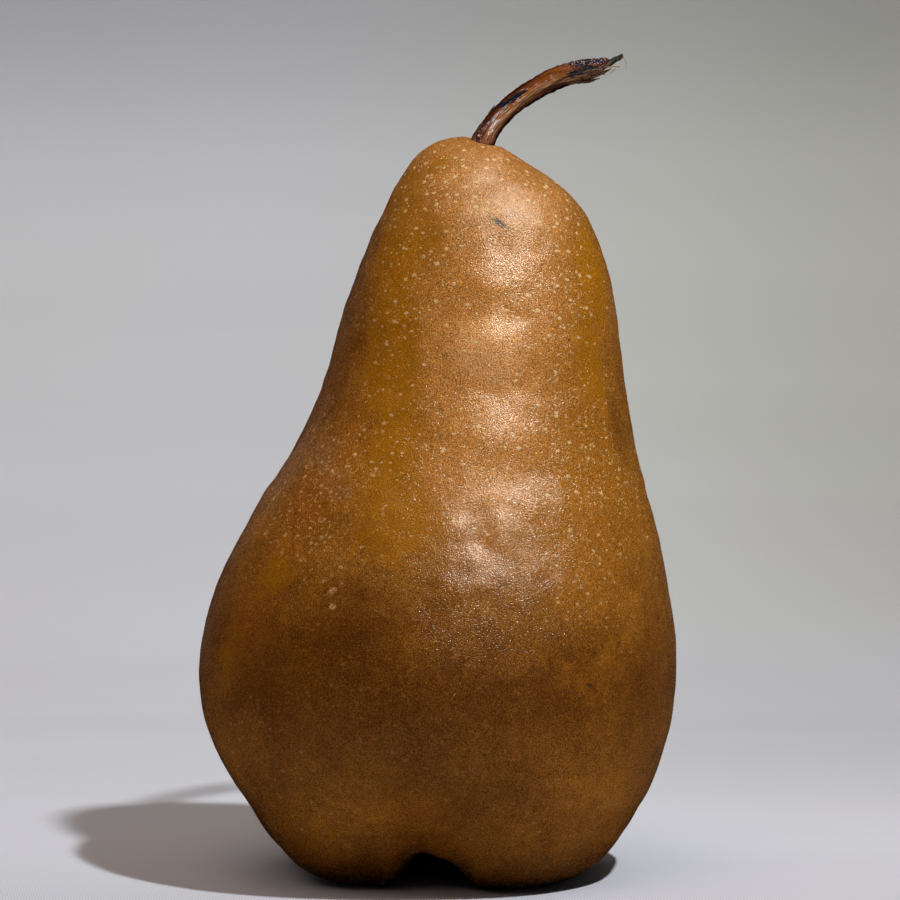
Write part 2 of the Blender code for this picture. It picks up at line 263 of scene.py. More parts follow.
def build_groups():
    """The shader groups that the pear's materials share."""
    # Cloudy areas of about this size, as a mask with soft edges.
    nodes, given, made = new_group("Cloudy Patches", {"Size": 0.01, "Low": 0.45, "High": 0.6}, "Mask")
    cloud = nodes.noise(given["Vector"], nodes.math("DIVIDE", 1.0, given["Size"]), 4.0, 0.55)
    nodes.plug(made["Mask"], nodes.span(cloud, given["Low"], given["High"]))

    # Ragged dots, one to a cell at most. Amount is the share of the cells that hold one.
    inputs = {"Gap": 0.002, "Size": 0.2, "Amount": 0.5, "Softness": 0.5, "Ragged": 0.3}
    nodes, given, made = new_group("Scattered Dots", inputs, "Mask")
    scale = nodes.math("DIVIDE", 1.0, given["Gap"])
    inputs = {"Vector": given["Vector"], "Scale": nodes.times(scale, 3.0), "Detail": 2.0}
    wobble = nodes.add("ShaderNodeTexNoise", inputs).outputs["Color"]
    shift = nodes.vector("SCALE", nodes.vector("SUBTRACT", wobble, (0.5, 0.5, 0.5)).outputs[0])
    nodes.plug(shift.inputs["Scale"], nodes.times(given["Gap"], given["Ragged"]))
    place = nodes.vector("ADD", given["Vector"], shift.outputs[0]).outputs[0]
    cells = nodes.add("ShaderNodeTexVoronoi", {"Vector": place, "Scale": scale})
    chances = nodes.add("ShaderNodeSeparateColor", {"Color": cells.outputs["Color"]}).outputs
    size = nodes.times(given["Size"], nodes.span(chances["Red"], 0.0, 1.0, 0.55, 1.25))
    core = nodes.times(size, nodes.minus(1.0, given["Softness"]))
    dot = nodes.span(cells.outputs["Distance"], core, size, 1.0, 0.0)
    nodes.plug(made["Mask"], nodes.times(dot, nodes.math("LESS_THAN", chances["Green"], given["Amount"])))

    # Sandy grain: a value about 0.5 that changes from one grain to the next.
    nodes, given, made = new_group("Fine Grain", {"Size": 0.0003, "Contrast": 1.0}, "Value")
    sand = nodes.noise(given["Vector"], nodes.math("DIVIDE", 1.0, given["Size"]), 1.0, 0.6)
    nodes.plug(made["Value"], nodes.math("ADD", nodes.swing(sand, given["Contrast"]), 0.5, clamp=True))

    # One soft-edged oval mark, in coordinates centred on it and divided by its half sizes.
    nodes, given, made = new_group("Oval Mark", {"Softness": 0.6, "Ragged": 0.0}, "Mask")
    away = nodes.plus(nodes.vector("LENGTH", given["Vector"]).outputs["Value"], given["Ragged"])
    nodes.plug(made["Mask"], nodes.span(away, nodes.minus(1.0, given["Softness"]), 1.0, 1.0, 0.0))

    # Fibres along the second coordinate: fine streaks and their height.
    nodes, given, made = new_group("Fibres", {"Fineness": 60.0, "Twist": 0.5}, "Streak", "Height")
    parts = nodes.parts(given["Vector"])
    angle = nodes.times(nodes.plus(parts["X"], nodes.times(parts["Y"], given["Twist"])), math.tau)
    ring = nodes.add("ShaderNodeCombineXYZ", {
        "X": nodes.math("COSINE", angle), "Y": nodes.math("SINE", angle), "Z": nodes.times(parts["Y"], 0.35),
    }).outputs[0]
    fine = nodes.noise(ring, given["Fineness"], 3.0, 0.65)
    broad = nodes.noise(ring, nodes.times(given["Fineness"], 0.28), 2.0, 0.5)
    nodes.plug(made["Streak"], nodes.span(fine, 0.42, 0.62))
    nodes.plug(made["Height"], nodes.plus(nodes.times(broad, 0.6), nodes.times(fine, 0.4)))


def new_material(name):
    """A material, and the helper for its nodes."""
    material = bpy.data.materials.new(name)
    material.use_nodes = True
    return material, Nodes(material.node_tree)


# ---------------------------------------------------------------- mesh helpers
MERGE = 0.01 * MM  # vertices nearer than this are one
QUAD_ANGLE = math.radians(60)


def deselect():
    if bpy.context.object and bpy.context.object.mode != "OBJECT":
        bpy.ops.object.mode_set(mode="OBJECT")
    bpy.ops.object.select_all(action="DESELECT")


def activate(piece):
    deselect()
    piece.select_set(True)
    bpy.context.view_layer.objects.active = piece


def apply_modifier(piece, kind, **settings):
    """Adds a modifier with these settings and applies it."""
    modifier = piece.modifiers.new(kind, kind)
    for name, value in settings.items():
        setattr(modifier, name, value)
    activate(piece)
    bpy.ops.object.modifier_apply(modifier=modifier.name)


def copy_of_solid(node, name):
    """A copy of a solid's mesh as a piece of its own, with its loose triangles merged to quads."""
    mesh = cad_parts[node].data.copy()
    mesh.name = name
    mesh.materials.clear()
    piece = bpy.data.objects.new(name, mesh)
    bpy.context.scene.collection.objects.link(piece)
    activate(piece)
    bpy.ops.object.mode_set(mode="EDIT")
    bpy.ops.mesh.select_all(action="SELECT")
    bpy.ops.mesh.remove_doubles(threshold=MERGE)
    bpy.ops.mesh.customdata_custom_splitnormals_clear()
    bpy.ops.mesh.tris_convert_to_quads(face_threshold=QUAD_ANGLE, shape_threshold=QUAD_ANGLE)
    bpy.ops.object.mode_set(mode="OBJECT")
    return piece


def join(pieces, name):
    """Joins the pieces into one, with its faces turned outward."""
    deselect()
    for piece in pieces:
        piece.select_set(True)
    bpy.context.view_layer.objects.active = pieces[0]
    bpy.ops.object.join()
    pieces[0].name = pieces[0].data.name = name
    activate(pieces[0])
    bpy.ops.object.mode_set(mode="EDIT")
    bpy.ops.mesh.select_all(action="SELECT")
    bpy.ops.mesh.normals_make_consistent(inside=False)
    bpy.ops.object.mode_set(mode="OBJECT")
    return pieces[0]


def vertices_of(piece):
    """Each vertex with its place and its normal as they are now."""
    return [(vertex, vertex.co.copy(), vertex.normal.copy()) for vertex in piece.data.vertices]


def store(piece, masks):
    """Stores numbers for each vertex, by their name, which the material reads."""
    for name, values in masks.items():
        piece.data.attributes.new(name, "FLOAT", "POINT").data.foreach_set("value", values)


def finish_piece(piece, node, material):
    """Gives a piece its material and its place in the frame."""
    piece.data.materials.clear()
    piece.data.materials.append(material)
    piece.data.shade_smooth()
    if node:
        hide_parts(node)
    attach(piece, BODY)


def clamped(value):
    return min(1.0, max(0.0, value))


def bell(distance, spread):
    return math.exp(-((distance / spread) ** 2))


def fade(value, low, high):
    """0 below low, 1 above high, and smooth between them."""
    t = clamped((value - low) / (high - low))
    return t * t * (3 - 2 * t)


def steps_about(levels, value):
    """The two steps of (value, result) that the value lies between, or the last two."""
    pairs = list(zip(levels, levels[1:]))
    return next((pair for pair in pairs if value <= pair[1][0]), pairs[-1])


def noise_at(*place):
    return noise.noise(Vector(place))


def circle_noise(angle, size, level, seed=0.0):
    """Noise that closes round a circle of this size, at this level."""
    return noise_at(math.cos(angle) * size + seed, math.sin(angle) * size, level)


# ---------------------------------------------------------------- fruit
CLEAR = 0.2  # a distance from the pear's axis that is clear of it
ROOT_TOP, NECK_TOP = 1.4 * MM, 4.5 * MM  # above the stem's foot, the two stretches that give its direction
HUG_REACH = 5.0 * MM  # how far from the stem's middle the crown is drawn towards the stem
HUG_WHOLE = 2.2 * MM  # how far from it the whole pull is felt
HUG_PULL = 0.62 * MM
HUG_RISE = 0.35 * MM
HUG_DEPTH, HUG_CORE = 1.5 * MM, 0.5 * MM  # nothing is pulled deeper in the hole, or so near its middle
FEET_HEIGHT = 9.0 * MM  # the height to which the base is brought round more tightly
FEET_POWER = 1.4
BASIN_RIM = (14 * MM, 19 * MM)  # from the axis, where the basin gives way to the feet
# Rises of the opening between the feet: (place across in mm, half width in mm, rise in mm).
NOTCH = [(-6.8, 2.0, -1.7), (-3.2, 2.0, 0.6), (2.4, 1.8, 0.7), (5.4, 1.8, -0.5)]
NOTCH_FRONT, NOTCH_HEIGHT = (5 * MM, 10 * MM), (3.5 * MM, 11 * MM)
SWELLINGS = [(11, 0.6), (5.2, 0.42), (2.7, 0.44), (1.4, 0.1)]  # (size in mm, share of the relief)
SWELLING_FEET, SWELLING_WAIST = (1.5 * MM, 9 * MM), (36 * MM, 50 * MM)  # heights where they grow

# Places on the fruit are an azimuth in degrees, where -90 is the front, and a height.
# Dents and bumps: (azimuth, height in mm, half width in mm, half height in mm, rise in mm).
DENTS = [
    (-68, 87.5, 6.5, 3.6, 0.5), (-68, 78, 6, 4, 1), (-71, 65.6, 5.5, 4.5, 0.85), (-68, 96.5, 10, 4.2, 0.6),
    (-20, 104.6, 3, 1.6, 0.6), (-76, 45, 9, 6.5, 0.6), (-78, 51.8, 1.5, 2.2, -0.3), (-85, 53, 2.4, 3, 0.22),
    (-71.5, 53.5, 1.8, 3.4, 0.22), (-62.5, 57.5, 1.7, 2.6, 0.22), (-61, 60, 1.4, 2.6, -0.16),
    (-82, 61, 2.2, 2.2, 0.16), (-90, 57.5, 1.6, 2.2, 0.16), (-81, 45.4, 2.2, 1.4, 0.13),
    (-72, 72.4, 2.4, 1.3, -0.16), (-58, 82, 3.5, 1.2, -0.16), (-66, 63, 2.2, 1.2, -0.1),
    (-103, 38, 3.4, 3.2, -0.5), (-95, 37, 4.2, 3.6, 0.25), (-59, 95.5, 1.8, 1, -0.14), (-119, 44, 4, 4, 0.15),
    (-44, 96, 6, 5, 0.35), (-104, 92, 4, 6, -0.2), (20, 52, 4, 4, -0.3), (75, 34, 5, 5, -0.35),
    (110, 78, 5, 3.5, 0.4), (60, 66, 4, 3.5, -0.3), (140, 60, 4.5, 4.5, -0.25), (170, 40, 5, 5, 0.25),
]
# Areas of the skin: (azimuth, height in mm, half width in mm, half height in mm, strength). Golden is
# the ochre where the russet is thin, crowded has many corky dots, rusty is redder, and the last is a
# painted sheen, greyer and pinker, mostly at the far left and right edges of the skin.
AREAS = {
    "golden": [
        (-134, 98, 4.5, 5, 1), (-84, 103.2, 5.5, 1.4, 1), (-118, 92, 4.6, 8, 1), (-113, 78, 5.2, 9, 1),
        (-106, 64, 4.4, 8, 1), (-20, 88, 4, 7.5, 1), (-31, 76, 3.4, 7, 0.85), (-102, 53, 6.5, 5, 1),
        (-70, 44, 8, 5, 0.3), (-140, 46, 5, 4.5, 0.8), (-150, 34, 4, 7, 0.6), (-60, 33, 13, 6, 0.25),
        (-114, 11.5, 11, 6, 0.4), (-46, 58, 3, 8, 0.6), (-42, 16, 12, 6, 0.3), (-56, 100, 3.5, 2.5, 0.6),
        (-92, 93, 2.6, 4, 0.5), (-40, 34, 8, 8, 0.3), (30, 84, 4, 9, 0.9), (60, 60, 6, 10, 0.8),
        (95, 92, 4, 8, 0.9), (120, 45, 8, 8, 0.6), (165, 75, 5, 9, 0.9), (0, 40, 7, 9, 0.5),
    ],
    "crowded": [
        (-90, 103, 16, 5, 1), (-72, 99, 15, 6, 0.9), (-68, 76, 9, 16, 0.3), (-130, 96, 9, 9, 1),
        (-118, 84, 7, 10, 0.95), (-150, 62, 10, 10, 1), (-133, 52, 10, 9, 1), (-30, 88, 7, 10, 0.8),
        (-30, 60, 8, 14, 0.8), (-112, 64, 7, 8, 0.7), (90, 102, 16, 6, 1), (0, 100, 10, 6, 0.9),
        (180, 100, 10, 6, 0.9), (60, 70, 10, 14, 0.6), (150, 70, 9, 12, 0.8), (-140, 22, 14, 14, 0.4),
        (-95, 26, 20, 10, 0.2), (100, 40, 12, 10, 0.5), (-40, 40, 12, 10, 0.25),
    ],
    "rusty": [
        (-138, 53, 7, 10, 1), (-146, 38, 6, 10, 0.8), (-128, 66, 4, 7, 0.6), (-98, 98, 5, 4, 0.5),
        (-125, 26, 8, 9, 0.6), (-95, 12, 12, 6, 0.6), (-60, 24, 8, 5, 0.4), (-20, 30, 5, 14, 0.5),
        (-142, 80, 4, 10, 0.5), (60, 36, 10, 8, 0.7), (120, 62, 6, 10, 0.6), (0, 66, 5, 9, 0.5),
        (170, 34, 8, 8, 0.6), (90, 16, 14, 6, 0.5),
    ],
    "painted_edge_sheen": [
        (-168, 62, 7, 14, 0.9), (-160, 84, 4.5, 12, 0.8), (-172, 40, 7, 16, 0.8), (-138, 62, 3.5, 3, 0.6),
        (-126, 58, 4, 3, 0.5), (-4, 40, 6, 16, 0.6), (-12, 84, 4, 9, 0.4), (150, 88, 5, 9, 0.6),
        (60, 50, 7, 9, 0.5),
    ],
}
# Tone of the russet at each height in mm: -1 is the deep brown, 0 the main one and 1 the pale one.
# Darker low on the body: partly the russet's own colour and partly painted shade.
TONE_BY_HEIGHT = [
    (0, -0.76), (12, -0.62), (20, -0.56), (29, -0.76), (36, -0.7), (44, -0.47), (52, -0.18), (58, 0),
    (70, 0.05), (90, 0.12), (106, 0.5),
]
# Paler and darker areas: (azimuth, height in mm, half width in mm, half height in mm, change of tone).
# The strongly paler ones on the front of the neck, at azimuth -67 to -83, are painted highlight where the key
# light's shine falls.
TONES = [
    (-112, 40, 10, 8, -0.18), (-106, 54, 6, 5, -0.12), (-124, 54, 8, 6, -0.3), (-45, 42, 11, 9, 0.18),
    (-15, 38, 12, 13, 0.1), (-67, 86, 11, 16, 0.72), (-72, 62, 10, 12, 0.65), (-158, 84, 12, 26, -0.62),
    (-44, 11, 14, 7, 0.32), (-96, 37.5, 4, 3, 0.16), (-113, 12, 9, 5, 0.28), (-36, 96, 6, 6, 0.35),
    (-73.5, 77, 10, 6.5, 0.95), (-22, 66, 3, 6, -0.5), (-83, 61, 6, 7, 0.3), (-10, 72, 6, 12, -0.45),
    (-8, 92, 5, 8, -0.3), (-96, 100, 10, 4, 0.35), (-104, 84, 5, 12, 0.2), (-158, 28, 9, 14, 0.22),
    (40, 50, 10, 9, 0.3), (90, 66, 9, 9, 0.3), (130, 84, 7, 9, 0.35), (110, 30, 10, 9, 0.3),
    (175, 55, 9, 9, -0.3), (70, 26, 9, 6, -0.2),
]


def surface_point(tree, azimuth, height):
    """The point of the skin, seen from outside at this azimuth and height, and the direction across it."""
    turn = math.radians(azimuth)
    out = Vector((math.cos(turn), math.sin(turn), 0.0))
    start = Vector((0.0, 0.0, height * MM)) + out * CLEAR
    return tree.ray_cast(start, -out)[0], Vector((-out.y, out.x, 0.0))


def placed(spots, tree):
    """The spots as (point, direction across, half width, half height, strength), in metres."""
    return [
        (*surface_point(tree, azimuth, height), wide * MM, high * MM, strength)
        for azimuth, height, wide, high, strength in spots
    ]


def cover(spot, place):
    """How much a spot covers a place, from 0 to 1."""
    point, across, wide, high, _ = spot
    away = place - point
    sideways = away.dot(across)
    lengthwise = (away - across * sideways).length
    return math.exp(-((sideways / wide) ** 2) - (lengthwise / high) ** 2)


def rises(spots, place):
    return sum(spot[-1] * cover(spot, place) for spot in spots)


def paint_skin(fruit, tree):
    """Stores how far each area covers each vertex, and the tone of its russet."""
    places = [vertex.co for vertex in fruit.data.vertices]
    masks = {}
    for name, spots in AREAS.items():
        found = placed(spots, tree)
        masks[name] = [1 - math.prod(1 - spot[-1] * cover(spot, place) for spot in found) for place in places]
    found = placed(TONES, tree)
    masks["tone"] = []
    for place in places:
        (low, start), (high, end) = steps_about(TONE_BY_HEIGHT, place.z / MM)
        tone = start + (end - start) * fade(place.z / MM, low, high)
        masks["tone"].append(tone + rises(found, place))
    store(fruit, masks)


def stem_hole():
    """Where the stem's solid goes into the crown: its root's middle and its direction."""
    low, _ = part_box("stem")
    root, above = [], []
    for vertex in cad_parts["stem"].data.vertices:
        if vertex.co.z < low.z + ROOT_TOP:
            root.append(vertex.co)
        elif vertex.co.z < low.z + NECK_TOP:
            above.append(vertex.co)
    start = sum(root, Vector()) / len(root)
    end = sum(above, Vector()) / len(above)
    return start, (end - start).normalized()


def hug_stem(fruit):
    """Draws the lip of the stem's hole in until it meets the stem."""
    start, direction = stem_hole()
    for vertex in fruit.data.vertices:
        away = vertex.co - start
        along = away.dot(direction)
        side = away - direction * along
        reach = side.length
        if along > -HUG_DEPTH and HUG_CORE < reach < HUG_REACH:
            near = fade(HUG_REACH - reach, 0.0, HUG_REACH - HUG_WHOLE)
            vertex.co += near * (direction * HUG_RISE - side * (HUG_PULL / reach))


def settle_feet(fruit):
    """Brings the body round more tightly where it meets the table, outside the basin."""
    for vertex in fruit.data.vertices:
        height = vertex.co.z / FEET_HEIGHT
        if height < 1:
            outside = fade(math.hypot(vertex.co.x, vertex.co.y), *BASIN_RIM)
            vertex.co.z += (height**FEET_POWER - height) * FEET_HEIGHT * outside


def shape_notch(fruit):
    """Squares up the opening between the two feet at the front."""
    for vertex in fruit.data.vertices:
        near = fade(-vertex.co.y, *NOTCH_FRONT) * (1 - fade(vertex.co.z, *NOTCH_HEIGHT))
        if near > 0:
            x = vertex.co.x / MM
            change = sum(rise * bell(x - middle, wide) for middle, wide, rise in NOTCH)
            vertex.co.z = max(0.0, vertex.co.z + near * change * MM)


def make_relief(fruit, settings):
    """Low swellings of the whole skin, then the listed dents and bumps."""
    spots = placed(DENTS, BVHTree.FromObject(fruit, bpy.context.evaluated_depsgraph_get()))
    low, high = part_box("fruit")
    for vertex, place, normal in vertices_of(fruit):
        calm = fade(place.z, *SWELLING_FEET) * fade(high.z - 0.5 * MM - place.z, 0.0, 3 * MM)
        calm *= 0.4 + 0.6 * fade(place.z, *SWELLING_WAIST)
        swell = sum(share * noise.noise(place / (size * MM)) for size, share in SWELLINGS)
        vertex.co = place + normal * (swell * settings.relief * calm + rises(spots, place) * MM)
        vertex.co.z = max(vertex.co.z, low.z)


SKIN_BUMP = 0.036 * MM  # height of the finest grain
# Painted shade: the base darkens towards the cloth it stands on, up to this height.
PAINTED_SHADE_HEIGHT = 7.0 * MM  # the height to which the base is darkened
DRY_CROWN = (90 * MM, 98 * MM)  # the heights over which the skin turns rougher
MARK_DEPTH = 2.5 * MM  # how far a mark reaches below the skin
# Small marks: (azimuth, height in mm, turn in degrees, half length in mm, half width in mm, strength).
SCARS = [
    (-59, 95.4, -42, 2.2, 0.62, 0.92), (-51, 31, -20, 0.9, 0.3, 0.8), (-55, 54.4, -50, 0.9, 0.16, 0.8),
    (-67, 66.4, 0, 0.25, 0.25, 0.9), (100, 70, 30, 1.8, 0.35, 0.8), (20, 35, 10, 1.2, 0.3, 0.8),
]
PALE_MARKS = [
    (-119, 44.4, 30, 0.95, 0.5, 0.6), (-118, 42.4, -30, 0.7, 0.5, 0.65), (-122, 45.6, 20, 0.8, 0.35, 0.4),
    (-86, 30.6, 60, 0.55, 0.07, 0.9), (-63, 96.6, -42, 2.6, 1.2, 0.3), (-56, 94.6, -42, 2.4, 0.9, 0.25),
    (140, 50, 20, 1.8, 0.5, 0.5),
]


def marks(nodes, place, spots, tree):
    """Mask of the listed small marks."""
    ragged = nodes.swing(nodes.noise(place, 1500.0, 3.0), 1.7)
    mask = 0.0
    for azimuth, height, turn, long, wide, strength in spots:
        middle, _ = surface_point(tree, azimuth, height)
        facing = Matrix.Identity(4)
        for angle, axis in ((azimuth + 90, "Z"), (90, "X"), (turn, "Z")):
            facing = facing @ Matrix.Rotation(math.radians(angle), 4, axis)
        centred = nodes.add("ShaderNodeMapping", {
            "Vector": place, "Location": middle, "Rotation": facing.to_euler(),
            "Scale": (long * MM, wide * MM, MARK_DEPTH),
        }, vector_type="TEXTURE").outputs[0]
        mark = nodes.use("Oval Mark", centred, Softness=0.8, Ragged=ragged)["Mask"]
        mask = nodes.math("MAXIMUM", mask, nodes.times(mark, strength))
    return mask


def skin_material(settings, tree):
    material, nodes = new_material("russet_skin")
    span, mix, times, plus = nodes.span, nodes.mix, nodes.times, nodes.plus
    place = nodes.place()
    crowd = nodes.painted("crowded")
    tone = nodes.painted("tone")
    upper = span(tone, -0.6, 0.1, 0.0, 0.9)

    # Russet from deep brown to pale, broken up by clouds, then ochre where the russet is thin.
    clouds = nodes.noise(place, 150.0, 4.0, 0.6)
    wisps = nodes.noise(place, 620.0, 3.0, 0.6)
    swing = plus(span(clouds, 0.3, 0.7, -0.13, 0.13), span(wisps, 0.3, 0.7, -0.11, 0.11))
    tone = plus(tone, times(swing, span(tone, -0.9, 0.0, 0.55, 1.0)))
    ground = mix(span(tone, 0.0, 1.0), settings.russet, settings.russet_pale)
    # Tan where the tone passes 1: painted highlight along the front of the neck.
    ground = mix(span(tone, 1.0, 1.6), ground, settings.tan)
    # Deep brown where the tone is low, which is partly painted shade low on the body.
    ground = mix(span(tone, -1.0, 0.0, 1.0, 0.0), ground, settings.russet_deep)
    redder = plus(nodes.painted("rusty"), nodes.swing(clouds, -0.7))
    rust = mix(span(tone, -1.0, 0.0, 0.66, 0.0), settings.rust, settings.russet_deep)
    ground = mix(span(redder, 0.2, 0.9, 0.0, 0.85), ground, rust)
    thin = plus(nodes.painted("golden"), nodes.swing(clouds, 0.8), nodes.swing(wisps, 0.7))
    thin = span(thin, 0.2, 0.72)
    dimmed = mix(span(tone, -1.0, 0.0, 0.62, 0.0), settings.golden, settings.russet_deep)
    ground = mix(times(thin, 0.95), ground, dimmed)
    # Painted sheen: greyer and pinker at the far left and right edges.
    painted_shine = plus(nodes.painted("painted_edge_sheen"), nodes.swing(wisps, 0.9))
    ground = mix(span(painted_shine, 0.15, 1.0, 0.0, 0.8), ground, settings.painted_edge_sheen)

    # Sandy grain, faint on the golden areas, with golden specks that are partly painted glints, and pale
    # hair-fine streaks.
    sand = nodes.use("Fine Grain", place, Size=settings.grain_size, Contrast=2.6)["Value"]
    bright = nodes.grey(span(sand, 0.0, 1.0, 0.54, 1.46))
    ground = nodes.tint(ground, mix(times(thin, 0.45), bright, (1.0, 1.0, 1.0)))
    specks = nodes.use(
        "Scattered Dots", place, Gap=0.68 * MM, Size=0.24, Amount=0.55, Softness=0.7, Ragged=0.3
    )["Mask"]
    ground = nodes.tint(ground, (2.1, 2.15, 1.3), times(specks, 0.85))
    veins = nodes.math("ABSOLUTE", nodes.minus(nodes.noise(place, 900.0, 1.0, 0.5), 0.5))
    veins = span(veins, 0.0, 0.035, 1.0, 0.0)
    broken = span(nodes.noise(place, 1300.0, 1.0, 0.5), 0.47, 0.64)
    shown = plus(tone, times(crowd, 0.5))
    pale = mix(times(thin, 0.3), settings.dot, settings.golden)
    pale = mix(span(shown, -1.0, 0.2, 0.95, 0.0), pale, settings.golden)
    cracks = times(veins, broken)
    streaks = times(cracks, span(shown, -1.0, 0.5, 0.12, 0.5), span(thin, 0.0, 1.0, 1.0, 0.35),
                    span(crowd, 0.2, 1.0, 1.0, 1.7))
    ground = mix(streaks, ground, pale)

    # Corky dots, wider than high: large where they are crowded, and small ones everywhere.
    flat = nodes.vector("MULTIPLY", place, (1.0, 1.0, 1.5)).outputs[0]
    amount = plus(times(crowd, 0.9), 0.09)
    dots = nodes.use(
        "Scattered Dots", flat, Gap=settings.dot_gap, Size=0.29, Amount=amount, Softness=0.52, Ragged=0.28
    )["Mask"]
    amount = plus(times(crowd, 0.5), 0.32)
    small = nodes.use(
        "Scattered Dots", flat, Gap=settings.dot_gap * 0.64, Size=0.27, Amount=amount, Softness=0.65, Ragged=0.35
    )["Mask"]
    corky = times(nodes.math("MAXIMUM", dots, times(small, 0.75)), span(tone, -0.6, 0.3, 0.24, 1.0),
                  span(sand, 0.1, 0.6, 0.65, 1.2))
    ground = mix(corky, ground, pale)

    # Listed pale and dark marks, then dark flecks, few and small.
    pale_marks = times(marks(nodes, place, PALE_MARKS, tree), span(sand, 0.2, 0.6, 0.25, 1.1))
    ground = mix(pale_marks, ground, settings.dot)
    flecks = nodes.use(
        "Scattered Dots", place, Gap=3.1 * MM, Size=0.075, Amount=0.16, Softness=0.5, Ragged=0.4
    )["Mask"]
    dark = nodes.math("MAXIMUM", marks(nodes, place, SCARS, tree), times(flecks, 0.85))
    ground = mix(dark, ground, settings.fleck)
    high = nodes.parts(place)["Z"]
    # Painted shade: darker towards the cloth the pear stands on.
    ground = nodes.dim(ground, span(high, 0.0, PAINTED_SHADE_HEIGHT, 0.34, 1.0))

    rough = plus(
        span(sand, 0.2, 0.8, settings.gloss - 0.05, settings.gloss + 0.05), times(corky, 0.2),
        span(high, *DRY_CROWN, 0.0, 0.15), span(tone, -1.0, 0.1, -0.02, 0.0),
    )
    proud = times(nodes.math("MAXIMUM", dots, cracks), upper)
    nodes.surface(
        Base_Color=ground, Roughness=rough, IOR=1.5, Specular_Tint=(1.0, 0.84, 0.67), Sheen_Weight=0.05,
        Sheen_Roughness=0.45, Sheen_Tint=(1.0, 0.60, 0.36), Normal=nodes.bump(plus(sand, proud), SKIN_BUMP),
    )
    return material


class PEAR_OT_fruit(bpy.types.Operator):
    """Grows the russet skin over the fruit's solid"""

    bl_idname = "pear.fruit"
    bl_label = "Fruit"

    def execute(self, context):
        settings = context.scene.pear_skin
        fruit = copy_of_solid("fruit", "pear_fruit")
        apply_modifier(fruit, "SUBSURF", levels=2)
        settle_feet(fruit)
        shape_notch(fruit)
        make_relief(fruit, settings)
        hug_stem(fruit)
        context.view_layer.update()
        tree = BVHTree.FromObject(fruit, context.evaluated_depsgraph_get())
        paint_skin(fruit, tree)
        finish_piece(fruit, "fruit", skin_material(settings, tree))
        return {"FINISHED"}


# ---------------------------------------------------------------- stem
# The stem's middle line, from the floor of its hole to the broken tip: (x, y, height, radius), in mm.
STEM_ROUTE = [
    (4.74, -1.04, 102.6, 1.55), (6.34, 0.16, 105.8, 1.6), (8.04, 1.76, 108.5, 1.49), (10.34, 4.46, 110.8, 1.5),
    (13.44, 7.96, 112.8, 1.56), (16.94, 11.66, 114.5, 1.62), (20.64, 15.06, 115.45, 1.62),
    (23.44, 17.36, 115.95, 1.36), (25.24, 18.76, 116.65, 0.62), (27.04, 20.16, 117.5, 0.3),
]
STEM_FRONT = Vector((0.0, -1.0, 0.1))  # turns round the stem: 0 is its upper edge, 90 faces this way
BARK_TWIST = 3.4  # degrees for each mm
BARK_BUMP = 0.09 * MM
THICK_FROM, THICK_RADIUS = 26.0, 1.62  # in mm: from there on the bark keeps nearly this radius

# Where the torn bark ends, in mm along the stem: (turn in degrees, place).
BARK_END = [
    (0, 32.6), (55, 32.8), (95, 31.5), (130, 30.2), (165, 29.2), (215, 29.8), (270, 31.2), (320, 31.9),
    (360, 32.6),
]

# Patches of the bark: name, then (turn, place in mm, half width in degrees, half length in mm, strength).
BARK_PATCHES = {
    # Blue-black patches, and at turn 172 painted shade along the stem's underside.
    "char": [
        (68, 11.9, 22, 3.1, 1), (34, 9.8, 16, 1.3, 0.6), (98, 24.6, 15, 1.9, 0.95), (92, 28, 16, 2.6, 0.9),
        (30, 28, 44, 3, 0.95), (40, 31, 40, 1.3, 0.75), (172, 8, 27, 7, 0.9), (12, 3.6, 40, 2, 0.6),
        (172, 17, 26, 7, 0.9), (172, 26, 28, 6, 0.9), (122, 27.5, 7, 3, 0.8), (55, 33.5, 360, 1.3, 0.75),
        (6, 5.8, 18, 2.4, 0.7), (60, 3.4, 30, 1.5, 0.45), (250, 12, 40, 4, 0.8), (300, 24, 30, 5, 0.9),
        (330, 16, 22, 3, 0.5), (230, 28, 30, 3, 0.8), (55, 36, 360, 1.5, 0.9),
    ],
    "maroon": [
        (26, 8, 34, 2.6, 0.9), (18, 13, 30, 3.2, 1), (14, 20.5, 24, 6, 0.8), (70, 5.5, 20, 2, 0.5),
        (300, 8, 40, 6, 0.8), (340, 20, 30, 6, 0.8), (60, 19, 14, 4, 0.4),
    ],
    "amber": [
        (104, 4.5, 20, 2.6, 0.95), (98, 7.6, 15, 2.6, 1), (97, 11, 11, 2.8, 0.9), (88, 15, 13, 2.6, 0.85),
        (62, 18.2, 14, 2.4, 0.35), (44, 22.5, 26, 3.2, 0.4), (84, 20, 9, 3, 0.5), (30, 31.4, 24, 0.7, 0.8),
        (240, 20, 25, 5, 0.5), (290, 16, 20, 3, 0.5),
    ],
    "fibre": [
        (122, 6, 14, 3, 0.9), (118, 12, 15, 4, 1), (112, 18, 22, 4, 1), (116, 24, 26, 4, 0.95),
        (128, 29, 40, 2.5, 0.9), (55, 34.5, 360, 2.2, 1), (215, 14, 24, 8, 0.8), (270, 28, 30, 3, 0.7),
    ],
    # Where painted glints of pink lie on the black patches, over raised blisters.
    "painted_shine": [
        (40, 3.4, 50, 1.9, 0.9), (110, 3.2, 30, 1.6, 0.6), (16, 6, 16, 1.6, 0.5), (26, 27.4, 46, 3.4, 0.95),
        (50, 30.6, 40, 1.6, 0.95), (20, 31.8, 24, 0.5, 1), (0, 24, 14, 1.2, 0.5), (300, 26, 30, 4, 0.7),
    ],
}

PEELING_BASE = 30.5  # the strips keep the stem's radius at this place, in mm, from there on
PEELING_THICK = 0.07
